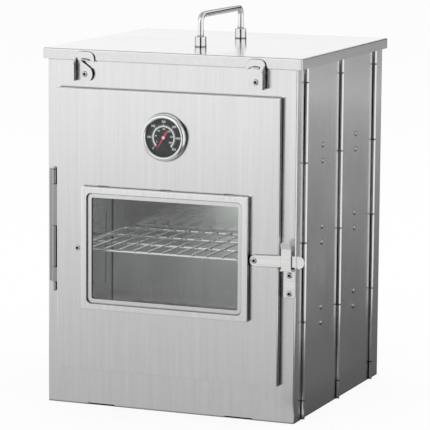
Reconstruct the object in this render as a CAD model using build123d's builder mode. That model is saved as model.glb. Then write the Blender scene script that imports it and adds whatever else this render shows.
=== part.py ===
"""Folding camp oven: a sheet-steel box with piano-hinged side walls, a lift-off lid, a glazed
door with a thermometer, a swinging latch, two lid clips and two wire racks.

Millimetres. +X is to the right of the oven, +Y goes back from the door and +Z is up. The origin is
on the ground, under the middle of everything that sticks out.
"""
from build123d import *
import os
from math import cos, hypot, radians, sin

os.makedirs("parts", exist_ok=True)

# ---- overall sizes ----
body_width = 300.0          # outside of the side walls
body_depth = 290.0          # front panel's face to rear panel's face
lid_top = 406.0             # height of the lid's top face
sheet = 1.0                 # steel sheet of the walls, lid and door
bend = 1.6                  # outside radius of a folded edge

# ---- lid ----
lid_skirt = 12.0            # depth of the lid's turned-down edge
lid_side = 5.5              # lid overhang past each side wall, which covers the hinge barrels
lid_end = 2.0               # lid overhang past the front and rear panels
lid_seat_gap = 0.3          # lid's underside to the top of the walls

# ---- folding side walls ----
front_flange = 24.8         # front panel's face to the front hinge line
rear_flange = 32.3          # rear panel's face to the rear hinge line
hinge_pin_r = 1.3
pin_play = 0.05             # radial running clearance of every hinge pin
knuckle_pitch = 89.0        # height of each full knuckle
knuckle_foot = 22.0         # top of the short knuckle at the ground
knuckle_gap = 0.5           # between two knuckles on one pin
barrel_sides = 12           # flats that stand for the round of a barrel
notch_gap = 0.6             # knuckle to the edge of the sheet opposite it
ground_gap = 0.5            # lowest knuckle to the ground
foot_return = 18.0          # depth of the flange that each end panel stands on

# ---- door opening and door ----
opening_side = 19.0         # body's side to the opening
opening_low = 48.5
opening_head = 49.4         # lid's top down to the opening
door_lap = 6.0              # door past the opening above and below
door_hinge_lap, door_latch_lap = 4.0, 2.0
door_depth = 9.0            # panel's face to the door's face
door_gap = 0.4              # door's turned edge to the panel

# ---- foot notches in the front panel ----
foot_notch_width, foot_notch_height = 33.5, 2.0
foot_notch_spacing = 168.0

# ---- door hinge ----
door_pin_r = 1.75
door_knuckle_end = 16.7     # short knuckle at each end of the hinge
door_knuckle_long = 47.65
door_hinge_low = 140.2
door_hinge_x = 9.4
door_pin_tail = 11.0        # pin below the lowest knuckle
door_pin_head = 1.2
door_leaf_reach = 7.2       # fixed leaf, from the pin to the left

# ---- window ----
bezel_left, bezel_width = 48.6, 200.6
bezel_low = 113.8
bezel_head = 153.1          # lid's top down to the bezel
bezel_rise = 8.0            # bezel's face above the door's face
bezel_face = 6.4            # width of the bezel's face
pocket_depth = 3.0          # bezel's face back to the inner frame
pocket_corner = 6.0
frame_face = 5.4            # width of the inner frame around the glass
frame_thick = 1.0
glass_thick = 3.0
glass_lap = 3.0             # glass behind the inner frame
tab_width, tab_thick = 12.6, 0.8
tab_spacing = 75.8
slot_height = 1.4           # open part of each tab slot

# ---- thermometer ----
dial_left, dial_head = 2.2, 92.9        # left of the middle of the body, and below the lid's top
gauge_r = 26.3              # outside of the chrome ring
gauge_depth = 8.4
dial_r = 21.2
stem_r, stem_reach = 3.0, 44.0
spindle_r = 0.8
dial_back = 4.0             # door's face to the dial's face
lens_thick = 1.2
pointer_gap = 0.8           # dial to pointer
pointer_thick = 0.5
pointer_tip, pointer_tail = 15.4, 8.0
pointer_hub_r = 2.2
pointer_angle = -120.5      # tip's direction, counter-clockwise from the oven's right
nut_across = 17.0
nut_thick = 4.0

# ---- latch ----
pivot_side, pivot_z = 44.6, 182.4       # in from the body's right side
lever_gap = 0.7             # door's face to the lever
lever_thick = 1.5
lever_half = 6.1            # half the lever's height
lever_end_r = 5.6
lever_rise = 2.0            # degrees that the lever climbs towards its grip
lever_straight = 49.6       # pivot to the step
grip_step = 4.0             # how far the grip steps forward
grip_step_run = 2.9
grip_r = 6.7
grip_reach = 15.7           # grip's end past the side wall
rivet_head_r, rivet_head = 3.3, 1.3
pivot_r = 2.0
pivot_play = 0.05

keeper_inset = 6.5          # in from the body's right side
keeper_arm, keeper_base = 11.4, 13.7
keeper_low, keeper_ledge = 142.3, 174.3
keeper_gap = 0.5            # lever to the keeper's arm
keeper_bend, keeper_tip = 197.6, 206.3
keeper_flare = 4.2          # the arm's tip leans this far forward
keeper_rivet_low, keeper_rivet_high = 146.4, 166.8
keeper_rivet_r = 1.6

# ---- lid clips ----
clip_offset = 102.5         # each clip's rivet from the middle of the panel
clip_drop = 15.5            # lid's skirt down to each clip's rivet
clip_thick = 1.4
clip_clear = 0.8            # lid's skirt to the clip
clip_head_top = 25.0        # head above the rivet
clip_reach = 11.3           # hook's tip past the rivet
clip_back = 11.0            # rivet to the finger flange
clip_foot = 7.5             # plate below the rivet
clip_lower_r = 9.2
clip_flange = 8.0
clip_flange_top = 18.5
clip_rivet_r = 1.8
tab_play = 0.5              # hook to the lid's tongue
tongue_half = 4.5
tongue_reach = 4.2
spacer_r = 4.4
spacer_gap = 0.3

# ---- lid handle ----
handle_span = 124.6
handle_rise = 39.8
handle_r = 3.6
handle_corner = 9.0
handle_back = 4.5           # middle of the handle behind the middle of the lid
collar_r, collar_height = 6.65, 12.1
collar_play = 0.1
stud_r, stud_length = 3.0, 7.0
stud_play = 0.2
handle_nut_across, handle_nut_thick = 10.0, 5.0

# ---- rack ledges and racks ----
ledge_first, ledge_pitch, ledge_rows = 84.4, 92.4, 3
ledge_reach = 24.5
ledge_width = 20.0
ledge_leg = 41.0
front_ledge_set, rear_ledge_set = 59.5, 61.0    # front hinge and rear hinge lines to each column
rack_side_gap = 3.0         # rack to each side of the door opening
rack_front, rack_back = 14.0, 22.0      # front panel's and rear panel's faces to the rack's end bars
rack_bar_r, rack_wire_r = 1.5, 1.0
rod_sides = 8               # flats that stand for the round of a wire
rack_corner = 12.0
rack_wires, rack_wire_pitch = 14, 17.7
rack_weld_gap = 0.05        # bars to the wires laid across them
rack_wire_overhang = 1.2
rack_seat_gap = 0.3
upper_rack_row, lower_rack_row = 1, 0

# ---- floor tray ----
tray_gap = 2.0              # tray to the walls
tray_lip = 8.0

# ---- where the sizes meet ----
knuckle_r = hinge_pin_r + pin_play + sheet
wall_top = lid_top - sheet - lid_seat_gap
front_hinge_y = front_flange
rear_hinge_y = body_depth - rear_flange
middle_hinge_y = (front_hinge_y + rear_hinge_y) / 2
hinge_x = body_width - sheet + knuckle_r
opening_width = body_width - 2 * opening_side
opening_height = lid_top - opening_head - opening_low
door_left = opening_side - door_hinge_lap
door_width = opening_width + door_hinge_lap + door_latch_lap
door_low, door_height = opening_low - door_lap, opening_height + 2 * door_lap
bezel_height = lid_top - bezel_head - bezel_low
dial_x, dial_z = body_width / 2 - dial_left, lid_top - dial_head
pivot_x, keeper_x = body_width - pivot_side, body_width - keeper_inset
clip_rivet_z = lid_top - lid_skirt - clip_drop
handle_front = (body_depth - handle_span) / 2 + handle_back
front_ledge_y, rear_ledge_y = front_hinge_y + front_ledge_set, rear_hinge_y - rear_ledge_set
rack_depth = body_depth - rack_front - rack_back
door_knuckle_r = door_pin_r + pin_play + sheet
ledge_seats = [ledge_first + ledge_pitch * row for row in range(ledge_rows)]
lever_back = door_depth + lever_gap
arm_back = lever_back + lever_thick + keeper_gap
arm_front = arm_back + lever_thick
front_reach = max(door_depth + gauge_depth, door_depth + bezel_rise, arm_front + keeper_flare)
left_x = -(body_width + grip_reach - lid_side) / 2
front_y = -(body_depth + lid_end - front_reach) / 2

# plan looks down, front looks at the door and side looks along +X. All three are measured from
# the front, left, lower corner of the body, and front.offset(d) lies d in front of the panel.
plan = Plane((left_x, front_y, 0))
front = Plane((left_x, front_y, 0), x_dir=(1, 0, 0), z_dir=(0, -1, 0))
side = Plane((left_x, front_y, 0), x_dir=(0, 1, 0), z_dir=(1, 0, 0))
middle = Plane((left_x + body_width / 2, 0, 0), x_dir=(0, 1, 0), z_dir=(1, 0, 0))


def knuckle_spans(first):
    """Heights of every second knuckle on a wall hinge, from the first or the second upwards."""
    full = int((wall_top - knuckle_foot) / knuckle_pitch)
    joints = [ground_gap, *(knuckle_foot + knuckle_pitch * i for i in range(full + 1)), wall_top]
    spans = list(zip(joints[:-1], joints[1:]))
    return [(low + knuckle_gap / 2, high - knuckle_gap / 2) for low, high in spans[first::2]]


def roll_edge(hinge_y, sheet_y, first):
    """Rolls the edge of a right-hand wall sheet outwards into knuckles on the pin at hinge_y."""
    for low, high in knuckle_spans(first):
        with BuildSketch(plan.offset(low)) as profile:
            with Locations((body_width - sheet / 2, (hinge_y + sheet_y) / 2)):
                Rectangle(sheet, abs(sheet_y - hinge_y))
            with Locations((hinge_x, hinge_y)):
                RegularPolygon(knuckle_r, barrel_sides, major_radius=False)
                RegularPolygon(hinge_pin_r + pin_play, barrel_sides, major_radius=False, mode=Mode.SUBTRACT)
        extrude(profile.sketch, amount=high - low)


def wall_pin(hinge_y, x):
    """A wall hinge's pin, a little shorter than its knuckles."""
    with BuildSketch(plan.offset(ground_gap + knuckle_gap)) as profile:
        with Locations((x, hinge_y)):
            RegularPolygon(hinge_pin_r, barrel_sides)
    extrude(profile.sketch, amount=wall_top - ground_gap - 2 * knuckle_gap)


# ================= front panel =================
sheet_edge = knuckle_r + notch_gap
with BuildPart() as front_panel:
    with BuildSketch(plan):
        with Locations((0, 0)):
            Rectangle(body_width, front_flange - sheet_edge, align=Align.MIN)
        fillet(vertices().group_by(Axis.Y)[0], bend)
        with Locations((sheet, sheet)):
            Rectangle(body_width - 2 * sheet, front_flange, align=Align.MIN, mode=Mode.SUBTRACT)
    extrude(amount=wall_top)
    roll_edge(front_hinge_y, front_flange - sheet_edge - notch_gap, 0)
    mirror(about=middle)
    with BuildSketch(plan):
        with Locations((sheet, sheet)):
            Rectangle(body_width - 2 * sheet, foot_return, align=Align.MIN)
    extrude(amount=sheet)
    with BuildSketch(front):
        with Locations((body_width / 2, opening_low + opening_height / 2)):
            RectangleRounded(opening_width, opening_height, 2 * bend)
        with Locations((body_width / 2, foot_notch_height / 2)):
            with GridLocations(foot_notch_spacing, 1, 2, 1):
                Rectangle(foot_notch_width, foot_notch_height)
    extrude(amount=-(foot_return + 2 * sheet), mode=Mode.SUBTRACT)
    with BuildSketch(front):
        with Locations((keeper_x, keeper_rivet_low), (keeper_x, keeper_rivet_high)):
            Circle(keeper_rivet_r)
        with Locations((body_width / 2, clip_rivet_z)):
            with GridLocations(2 * clip_offset, 1, 2, 1):
                Circle(clip_rivet_r)
    extrude(amount=-2 * sheet, mode=Mode.SUBTRACT)
front_panel.part.label = "front_panel"

# ================= rear panel =================
with BuildPart() as rear_panel:
    with BuildSketch(plan):
        with Locations((0, rear_hinge_y + sheet_edge)):
            Rectangle(body_width, rear_flange - sheet_edge, align=Align.MIN)
        fillet(vertices().group_by(Axis.Y)[-1], bend)
        with Locations((sheet, rear_hinge_y)):
            Rectangle(body_width - 2 * sheet, rear_flange - sheet, align=Align.MIN, mode=Mode.SUBTRACT)
    extrude(amount=wall_top)
    roll_edge(rear_hinge_y, rear_hinge_y + sheet_edge + notch_gap, 1)
    mirror(about=middle)
    with BuildSketch(plan):
        with Locations((sheet, body_depth - sheet - foot_return)):
            Rectangle(body_width - 2 * sheet, foot_return, align=Align.MIN)
    extrude(amount=sheet)
rear_panel.part.label = "rear_panel"

# ================= four wall leaves =================
with BuildPart() as right_front_leaf:
    with BuildSketch(plan.offset(ground_gap)):
        with Locations((body_width - sheet, front_hinge_y + sheet_edge)):
            Rectangle(sheet, middle_hinge_y - front_hinge_y - 2 * sheet_edge, align=Align.MIN)
    extrude(amount=wall_top - ground_gap)
    roll_edge(front_hinge_y, front_hinge_y + sheet_edge + notch_gap, 1)
    roll_edge(middle_hinge_y, middle_hinge_y - sheet_edge - notch_gap, 0)
right_front_leaf.part.label = "right_front_leaf"

with BuildPart() as right_rear_leaf:
    with BuildSketch(plan.offset(ground_gap)):
        with Locations((body_width - sheet, middle_hinge_y + sheet_edge)):
            Rectangle(sheet, rear_hinge_y - middle_hinge_y - 2 * sheet_edge, align=Align.MIN)
    extrude(amount=wall_top - ground_gap)
    roll_edge(middle_hinge_y, middle_hinge_y + sheet_edge + notch_gap, 1)
    roll_edge(rear_hinge_y, rear_hinge_y - sheet_edge - notch_gap, 0)
right_rear_leaf.part.label = "right_rear_leaf"

with BuildPart() as left_front_leaf:
    mirror(right_front_leaf.part, about=middle)
left_front_leaf.part.label = "left_front_leaf"

with BuildPart() as left_rear_leaf:
    mirror(right_rear_leaf.part, about=middle)
left_rear_leaf.part.label = "left_rear_leaf"

# ================= six wall hinge pins =================
left_hinge_x = body_width - hinge_x
with BuildPart() as right_front_pin:
    wall_pin(front_hinge_y, hinge_x)
right_front_pin.part.label = "right_front_pin"
with BuildPart() as right_middle_pin:
    wall_pin(middle_hinge_y, hinge_x)
right_middle_pin.part.label = "right_middle_pin"
with BuildPart() as right_rear_pin:
    wall_pin(rear_hinge_y, hinge_x)
right_rear_pin.part.label = "right_rear_pin"
with BuildPart() as left_front_pin:
    wall_pin(front_hinge_y, left_hinge_x)
left_front_pin.part.label = "left_front_pin"
with BuildPart() as left_middle_pin:
    wall_pin(middle_hinge_y, left_hinge_x)
left_middle_pin.part.label = "left_middle_pin"
with BuildPart() as left_rear_pin:
    wall_pin(rear_hinge_y, left_hinge_x)
left_rear_pin.part.label = "left_rear_pin"


# ================= rack ledges =================
def ledges(y):
    """A column of right-hand ledges: each an angle whose upper leg is riveted to the wall."""
    for seat in ledge_seats:
        with BuildSketch(side.offset(body_width - sheet)) as profile:
            with Locations((y, seat + (ledge_leg - sheet) / 2)):
                Rectangle(ledge_width, ledge_leg + sheet)
            chamfer(vertices().group_by(Axis.Y)[-1], 3)
        extrude(profile.sketch, amount=-sheet)
        with BuildSketch(plan.offset(seat - sheet)) as profile:
            with Locations((body_width - sheet - ledge_reach / 2, y)):
                Rectangle(ledge_reach, ledge_width)
            chamfer(vertices().group_by(Axis.X)[0], 3)
        extrude(profile.sketch, amount=sheet)


def rivet(plane, places, shank_r, grip, head_radius, head, tail_radius=0, tail=0):
    """Rivets with flat heads in front of the plane, shanks through grip and set tails behind."""
    with BuildSketch(plane) as profile:
        with Locations(places):
            Circle(head_radius)
    extrude(profile.sketch, amount=head)
    with BuildSketch(plane) as profile:
        with Locations(places):
            Circle(shank_r)
    extrude(profile.sketch, amount=-grip - tail)
    if tail:
        with BuildSketch(plane.offset(-grip)) as profile:
            with Locations(places):
                Circle(tail_radius)
        extrude(profile.sketch, amount=-tail)


with BuildPart() as right_front_ledges:
    ledges(front_ledge_y)
right_front_ledges.part.label = "right_front_ledges"
with BuildPart() as right_rear_ledges:
    ledges(rear_ledge_y)
right_rear_ledges.part.label = "right_rear_ledges"
with BuildPart() as left_front_ledges:
    mirror(right_front_ledges.part, about=middle)
left_front_ledges.part.label = "left_front_ledges"
with BuildPart() as left_rear_ledges:
    mirror(right_rear_ledges.part, about=middle)
left_rear_ledges.part.label = "left_rear_ledges"

# ================= floor tray =================
with BuildPart() as floor_tray:
    with BuildSketch(plan.offset(sheet)):
        with Locations((body_width / 2, body_depth / 2)):
            Rectangle(body_width - 2 * sheet - 2 * tray_gap, body_depth - 2 * sheet - 2 * tray_gap)
            fillet(vertices(), 2 * bend)
    extrude(amount=tray_lip)
    offset(amount=-sheet, openings=faces().sort_by(Axis.Z)[-1])
floor_tray.part.label = "floor_tray"

# ================= lid =================
lid_width = body_width + 2 * lid_side
lid_depth = body_depth + 2 * lid_end
lid_foot = lid_top - lid_skirt
tongue_x = body_width / 2 - clip_offset
with BuildPart() as lid_shell:
    with BuildSketch(plan.offset(lid_foot)):
        with Locations((body_width / 2, body_depth / 2)):
            RectangleRounded(lid_width, lid_depth, bend)
    extrude(amount=lid_skirt)
    fillet(faces().sort_by(Axis.Z)[-1].edges(), bend)
    with BuildSketch(plan.offset(lid_foot)):
        with Locations((body_width / 2, body_depth / 2)):
            Rectangle(lid_width - 2 * sheet, lid_depth - 2 * sheet)
    extrude(amount=lid_skirt - sheet, mode=Mode.SUBTRACT)
    with BuildSketch(plan.offset(lid_foot)):
        with Locations((body_width / 2, -lid_end - tongue_reach / 2 + sheet / 2)):
            with GridLocations(2 * clip_offset, 1, 2, 1):
                Rectangle(2 * tongue_half, tongue_reach + sheet)
    extrude(amount=sheet)
    with BuildSketch(plan.offset(lid_top)):
        with Locations((body_width / 2, handle_front), (body_width / 2, handle_front + handle_span)):
            Circle(stud_r + stud_play)
    extrude(amount=-2 * sheet, mode=Mode.SUBTRACT)
lid_shell.part.label = "lid_shell"

handle_z = lid_top + handle_rise - handle_r
handle_rear = handle_front + handle_span
with BuildPart() as lid_handle:
    with BuildSketch(plan.offset(lid_top)):
        with Locations((body_width / 2, handle_front)):
            RegularPolygon(handle_r, 2 * rod_sides)
    extrude(amount=handle_z - handle_corner - lid_top)
    leg_end = faces().sort_by(Axis.Z)[-1]
    bend_at = plan.from_local_coords((0, handle_front + handle_corner, handle_z - handle_corner))
    revolve(leg_end, axis=Axis(bend_at, (1, 0, 0)), revolution_arc=-90)
    extrude(faces().sort_by(Axis.Y)[-1], amount=handle_span / 2 - handle_corner)
    with BuildSketch(plan.offset(lid_top)):
        with Locations((body_width / 2, handle_front)):
            Circle(stud_r)
    extrude(amount=-sheet - stud_length)
    mirror(about=Plane(plan.from_local_coords((0, handle_front + handle_span / 2, 0)), x_dir=(1, 0, 0),
                       z_dir=(0, 1, 0)))
lid_handle.part.label = "lid_handle"

handle_feet = [(body_width / 2, handle_front), (body_width / 2, handle_rear)]
with BuildPart() as handle_collars:
    with BuildSketch(plan.offset(lid_top)):
        with Locations(handle_feet):
            Circle(collar_r)
            Circle(handle_r + collar_play, mode=Mode.SUBTRACT)
    extrude(amount=collar_height)
    chamfer(edges().group_by(Axis.Z)[-1].group_by(SortBy.RADIUS)[-1], 0.8)
handle_collars.part.label = "handle_collars"

with BuildPart() as handle_nuts:
    with BuildSketch(plan.offset(lid_top - sheet)):
        with Locations(handle_feet):
            RegularPolygon(handle_nut_across / 2, 6, major_radius=False)
            Circle(stud_r + pin_play, mode=Mode.SUBTRACT)
    extrude(amount=-handle_nut_thick)
handle_nuts.part.label = "handle_nuts"


# ================= lid clips =================
clip_back_y = lid_end + clip_clear
hook_r = hypot(tongue_half, lid_foot + sheet - clip_rivet_z) + tab_play
hook_tip = (hook_r**2 - clip_reach**2) ** 0.5
hook_root = (hook_r**2 - (tongue_half + tab_play) ** 2) ** 0.5
tongue_low = lid_foot - clip_rivet_z - tab_play
left_clip_plane = Plane((left_x + tongue_x, front_y - clip_back_y, clip_rivet_z),
                        x_dir=(1, 0, 0), z_dir=(0, -1, 0))
with BuildPart() as clip_left:
    with BuildSketch(left_clip_plane):
        with BuildLine():
            head = Line((-clip_back, -clip_foot), (-clip_back, clip_head_top - 7))
            crown = TangentArc(head @ 1, (-clip_back + 7, clip_head_top), tangent=head % 1)
            top = Line(crown @ 1, (clip_reach - 8, clip_head_top))
            nose = TangentArc(top @ 1, (clip_reach, clip_head_top - 8), tangent=top % 1)
            beak = Line(nose @ 1, (clip_reach, hook_tip))
            hook = ThreePointArc(beak @ 1, (0, hook_r), (-tongue_half - tab_play, hook_root))
            throat = Line(hook @ 1, (-tongue_half - tab_play, tongue_low))
            slope = Line(throat @ 1, (clip_lower_r * 0.77, clip_lower_r * 0.64))
            belly = ThreePointArc(slope @ 1, (clip_lower_r, 0), (clip_lower_r * 0.58, -clip_foot))
            Line(belly @ 1, head @ 0)
        make_face()
        Circle(clip_rivet_r + pivot_play, mode=Mode.SUBTRACT)
    extrude(amount=clip_thick)
    with BuildSketch(Plane(left_clip_plane.origin - (clip_back, 0, 0), x_dir=(0, -1, 0), z_dir=(-1, 0, 0))):
        with BuildLine():
            Polyline((0, -clip_foot), (clip_flange + clip_thick, -clip_foot),
                     (clip_flange + clip_thick, clip_flange_top - 7),
                     (clip_thick, clip_flange_top), (0, clip_flange_top), close=True)
        make_face()
    extrude(amount=-clip_thick)
clip_left.part.label = "clip_left"

with BuildPart() as clip_right:
    mirror(clip_left.part, about=middle)
clip_right.part.label = "clip_right"

clip_places = [(body_width / 2 - clip_offset, clip_rivet_z), (body_width / 2 + clip_offset, clip_rivet_z)]
with BuildPart() as clip_spacers:
    with BuildSketch(front):
        with Locations(clip_places):
            Circle(spacer_r)
            Circle(clip_rivet_r + pivot_play, mode=Mode.SUBTRACT)
    extrude(amount=clip_back_y - spacer_gap)
clip_spacers.part.label = "clip_spacers"

with BuildPart() as clip_rivets:
    rivet(front.offset(clip_back_y + clip_thick + pivot_play), clip_places, clip_rivet_r,
          clip_back_y + clip_thick + pivot_play + sheet, rivet_head_r, rivet_head,
          rivet_head_r, sheet)
clip_rivets.part.label = "clip_rivets"

# ================= door =================
door_middle = (door_left + door_width / 2, door_low + door_height / 2)
glass_width = bezel_width - 2 * (bezel_face + frame_face)
glass_height = bezel_height - 2 * (bezel_face + frame_face)
window_middle = (bezel_left + bezel_width / 2, bezel_low + bezel_height / 2)
slot_middle = (window_middle[0], bezel_low + bezel_height)
foot_slot_middle = (window_middle[0], bezel_low)
with BuildPart() as door_panel:
    with BuildSketch(front.offset(door_gap)):
        with Locations(door_middle):
            Rectangle(door_width, door_height)
    extrude(amount=door_depth - door_gap)
    fillet(faces().sort_by(Axis.Y)[0].edges(), 1)
    with BuildSketch(front.offset(door_gap)):
        with Locations(door_middle):
            Rectangle(door_width - 2 * sheet, door_height - 2 * sheet)
    extrude(amount=door_depth - door_gap - sheet, mode=Mode.SUBTRACT)
    with BuildSketch(front.offset(door_depth)):
        with Locations(window_middle):
            RectangleRounded(glass_width, glass_height, 3)
        with Locations((slot_middle[0], slot_middle[1] + slot_height / 2 - tab_thick / 2)):
            with GridLocations(tab_spacing, 1, 3, 1):
                Rectangle(tab_width + 0.4, slot_height + tab_thick)
        with Locations((foot_slot_middle[0], foot_slot_middle[1] + tab_thick / 2)):
            with GridLocations(tab_spacing, 1, 3, 1):
                Rectangle(tab_width + 0.4, tab_thick + 0.4)
        with Locations((dial_x, dial_z)):
            Circle(stem_r + 1)
        with Locations((pivot_x, pivot_z), (bezel_left - 7.9, pivot_z - 0.7)):
            Circle(pivot_r)
    extrude(amount=-2 * sheet, mode=Mode.SUBTRACT)
door_panel.part.label = "door_panel"

# ---- door hinge: knuckles one and three from the top are the panel's, two and four the door's ----
hinge_steps = [door_hinge_low]
for step in (door_knuckle_end, door_knuckle_long, door_knuckle_long, door_knuckle_end):
    hinge_steps.append(hinge_steps[-1] + step)
hinge_axis = (door_hinge_x, -door_knuckle_r)


def door_knuckles(first):
    """Two of the four knuckles on the door's pin, counted from the lowest."""
    for low, high in list(zip(hinge_steps[:-1], hinge_steps[1:]))[first::2]:
        with BuildSketch(plan.offset(low + knuckle_gap / 2)) as profile:
            with Locations(hinge_axis):
                Circle(door_knuckle_r)
            if first:
                with Locations((door_hinge_x - door_leaf_reach, -sheet)):
                    Rectangle(door_leaf_reach, sheet, align=Align.MIN)
            else:
                with Locations((door_hinge_x, -2 * door_knuckle_r)):
                    Rectangle(door_left - door_hinge_x, sheet, align=Align.MIN)
                with Locations((door_left - sheet, -2 * door_knuckle_r)):
                    Rectangle(sheet, 2 * door_knuckle_r - 2 * door_gap, align=Align.MIN)
            with Locations(hinge_axis):
                Circle(door_pin_r + pin_play, mode=Mode.SUBTRACT)
        extrude(profile.sketch, amount=high - low - knuckle_gap)


with BuildPart() as hinge_leaf_fixed:
    door_knuckles(1)
    with BuildSketch(front):
        with Locations((door_hinge_x - door_leaf_reach, door_hinge_low)):
            Rectangle(door_leaf_reach - door_knuckle_r - notch_gap, hinge_steps[-1] - door_hinge_low,
                      align=Align.MIN)
    extrude(amount=sheet)
hinge_leaf_fixed.part.label = "hinge_leaf_fixed"

with BuildPart() as hinge_leaf_door:
    door_knuckles(0)
hinge_leaf_door.part.label = "hinge_leaf_door"

with BuildPart() as door_hinge_pin:
    with BuildSketch(plan.offset(door_hinge_low - door_pin_tail)):
        with Locations(hinge_axis):
            Circle(door_pin_r)
    extrude(amount=hinge_steps[-1] + knuckle_gap - door_hinge_low + door_pin_tail)
    with BuildSketch(plan.offset(hinge_steps[-1] + knuckle_gap)):
        with Locations(hinge_axis):
            Circle(door_knuckle_r)
    extrude(amount=door_pin_head)
door_hinge_pin.part.label = "door_hinge_pin"

# ================= window =================
bezel_front = door_depth + bezel_rise
with BuildPart() as window_bezel:
    with BuildSketch(front.offset(door_depth)):
        with Locations(window_middle):
            Rectangle(bezel_width, bezel_height)
    extrude(amount=bezel_rise)
    fillet(faces().sort_by(Axis.Y)[0].edges(), 0.8)
    with BuildSketch(front.offset(door_depth)):
        with Locations(window_middle):
            Rectangle(bezel_width - 2 * sheet, bezel_height - 2 * sheet)
    extrude(amount=bezel_rise - sheet, mode=Mode.SUBTRACT)
    with BuildSketch(front.offset(bezel_front - pocket_depth)):
        with Locations(window_middle):
            RectangleRounded(bezel_width - 2 * bezel_face + 2 * sheet,
                             bezel_height - 2 * bezel_face + 2 * sheet, pocket_corner + sheet)
    extrude(amount=pocket_depth - sheet / 2)
    with BuildSketch(front.offset(bezel_front)):
        with Locations(window_middle):
            RectangleRounded(bezel_width - 2 * bezel_face, bezel_height - 2 * bezel_face, pocket_corner)
    extrude(amount=-bezel_rise, mode=Mode.SUBTRACT)
    with BuildSketch(front.offset(door_depth)):
        with Locations((slot_middle[0], slot_middle[1] - tab_thick / 2)):
            with GridLocations(tab_spacing, 1, 3, 1):
                Rectangle(tab_width, tab_thick)
        with Locations((foot_slot_middle[0], foot_slot_middle[1] + tab_thick / 2)):
            with GridLocations(tab_spacing, 1, 3, 1):
                Rectangle(tab_width, tab_thick)
    extrude(amount=-2 * sheet)
window_bezel.part.label = "window_bezel"

frame_front = bezel_front - pocket_depth
with BuildPart() as window_frame:
    with BuildSketch(front.offset(frame_front - frame_thick)):
        with Locations(window_middle):
            RectangleRounded(glass_width + 2 * (frame_face + sheet), glass_height + 2 * (frame_face + sheet),
                             pocket_corner + sheet)
            RectangleRounded(glass_width, glass_height, 2, mode=Mode.SUBTRACT)
    extrude(amount=frame_thick)
window_frame.part.label = "window_frame"

glass_front = frame_front - frame_thick
with BuildPart() as window_glass:
    with BuildSketch(front.offset(glass_front - glass_thick)):
        with Locations(window_middle):
            RectangleRounded(glass_width + 2 * glass_lap, glass_height + 2 * glass_lap, 3)
    extrude(amount=glass_thick)
window_glass.part.label = "window_glass"

with BuildPart() as window_gasket:
    with BuildSketch(front.offset(door_depth)):
        with Locations(window_middle):
            RectangleRounded(glass_width + 2 * glass_lap, glass_height + 2 * glass_lap, 3)
            RectangleRounded(glass_width, glass_height, 3, mode=Mode.SUBTRACT)
    extrude(amount=glass_front - glass_thick - door_depth)
window_gasket.part.label = "window_gasket"

# ================= thermometer =================
gauge = Plane((left_x + dial_x, front_y - door_depth, dial_z), x_dir=(1, 0, 0), z_dir=(0, -1, 0))
gauge_half = Plane(gauge.origin, x_dir=(1, 0, 0), z_dir=(0, 0, 1))
gauge_axis = Axis(gauge.origin, (0, -1, 0))
lens_back = gauge_depth - 1.6 - lens_thick
with BuildPart() as thermometer_case:
    with BuildSketch(gauge):
        Circle(gauge_r - 2.2)
    extrude(amount=lens_back)
    with BuildSketch(gauge.offset(lens_back)):
        Circle(dial_r + 0.6)
    extrude(amount=dial_back - 0.6 - lens_back, mode=Mode.SUBTRACT)
    with BuildSketch(gauge):
        Circle(stem_r + 0.8)
    extrude(amount=-sheet)
    with BuildSketch(gauge.offset(lens_back)):
        Circle(spindle_r + pivot_play)
    extrude(amount=-lens_back - sheet, mode=Mode.SUBTRACT)
thermometer_case.part.label = "thermometer_case"

with BuildPart() as thermometer_ring:
    with BuildSketch(gauge_half):
        with BuildLine():
            Polyline((gauge_r, -0.2), (gauge_r, -gauge_depth + 2.4),
                     (gauge_r - 2.4, -gauge_depth), (dial_r, -lens_back - lens_thick),
                     (gauge_r - 2.2, -lens_back - lens_thick), (gauge_r - 2.2, -0.2), close=True)
        make_face()
    revolve(axis=gauge_axis)
thermometer_ring.part.label = "thermometer_ring"

with BuildPart() as thermometer_dial:
    with BuildSketch(gauge.offset(dial_back - 0.6)):
        Circle(dial_r + 0.6)
        Circle(spindle_r + pivot_play, mode=Mode.SUBTRACT)
    extrude(amount=0.6)
thermometer_dial.part.label = "thermometer_dial"

with BuildPart() as thermometer_lens:
    with BuildSketch(gauge.offset(lens_back)):
        Circle(gauge_r - 2.2)
    extrude(amount=lens_thick)
thermometer_lens.part.label = "thermometer_lens"

pointer_plane = Plane(gauge.offset(dial_back + pointer_gap).origin,
                      x_dir=(cos(radians(pointer_angle)), 0, sin(radians(pointer_angle))), z_dir=(0, -1, 0))
with BuildPart() as thermometer_pointer:
    with BuildSketch(pointer_plane):
        with BuildLine():
            Polyline((-pointer_tail, -1.3), (0, -1.1), (pointer_tip, -0.25), (pointer_tip, 0.25), (0, 1.1),
                     (-pointer_tail, 1.3), close=True)
        make_face()
        Circle(pointer_hub_r)
        Circle(spindle_r + pivot_play, mode=Mode.SUBTRACT)
    extrude(amount=pointer_thick)
thermometer_pointer.part.label = "thermometer_pointer"

with BuildPart() as thermometer_stem:
    with BuildSketch(gauge.offset(-sheet)):
        Circle(stem_r)
    extrude(amount=-stem_reach)
    chamfer(faces().sort_by(Axis.Y)[-1].edges(), stem_r * 0.5)
    with BuildSketch(gauge.offset(-sheet)):
        Circle(spindle_r)
    extrude(amount=sheet + dial_back + pointer_gap + pointer_thick)
thermometer_stem.part.label = "thermometer_stem"

with BuildPart() as thermometer_nut:
    with BuildSketch(gauge.offset(-sheet)):
        RegularPolygon(nut_across / 2, 6, major_radius=False)
        Circle(stem_r + pivot_play, mode=Mode.SUBTRACT)
    extrude(amount=-nut_thick)
thermometer_nut.part.label = "thermometer_nut"

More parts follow.
